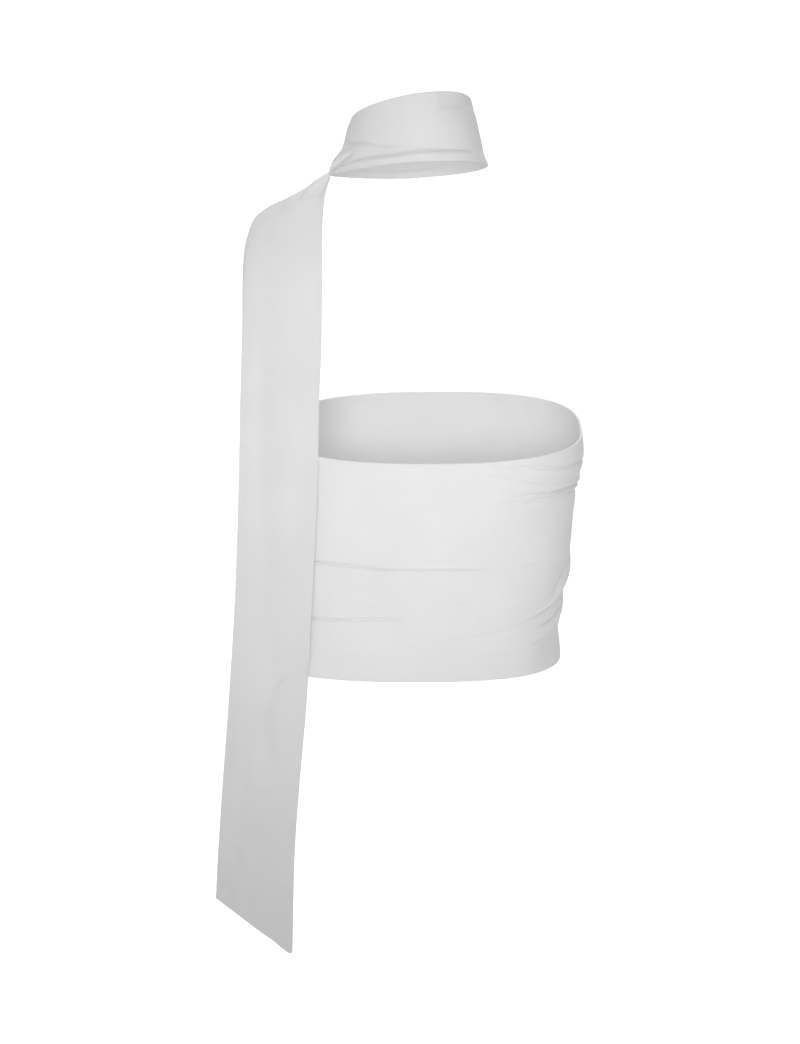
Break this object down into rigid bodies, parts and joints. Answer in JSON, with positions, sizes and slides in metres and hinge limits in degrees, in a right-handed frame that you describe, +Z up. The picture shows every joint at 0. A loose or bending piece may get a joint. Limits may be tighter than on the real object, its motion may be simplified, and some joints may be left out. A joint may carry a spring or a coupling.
{
  "type": "one-shoulder top",
  "caption": "Cropped stretch tube top held by one long scarf that crosses a shoulder, winds round the neck and hangs down the back with a slanted end.",
  "frame": {"origin": "middle of the neck wrap's lower opening, where the wearer's neck holds the garment up", "axes": "+Z up the wearer, +Y to the wearer's front, +X to the wearer's right"},
  "size_m": [0.3223, 0.205, 0.7564],
  "materials": {
    "panel_jersey": "matt off-white fine-knit stretch jersey",
    "scarf_jersey": "matt off-white fine-knit stretch jersey, a little greyer"
  },
  "bodies": {
    "root": {"front_panel": "panel_jersey", "back_panel": "panel_jersey", "scarf_strap": "scarf_jersey", "scarf_wrap": "scarf_jersey", "scarf_tail": "scarf_jersey"}
  },
  "joints": []
}
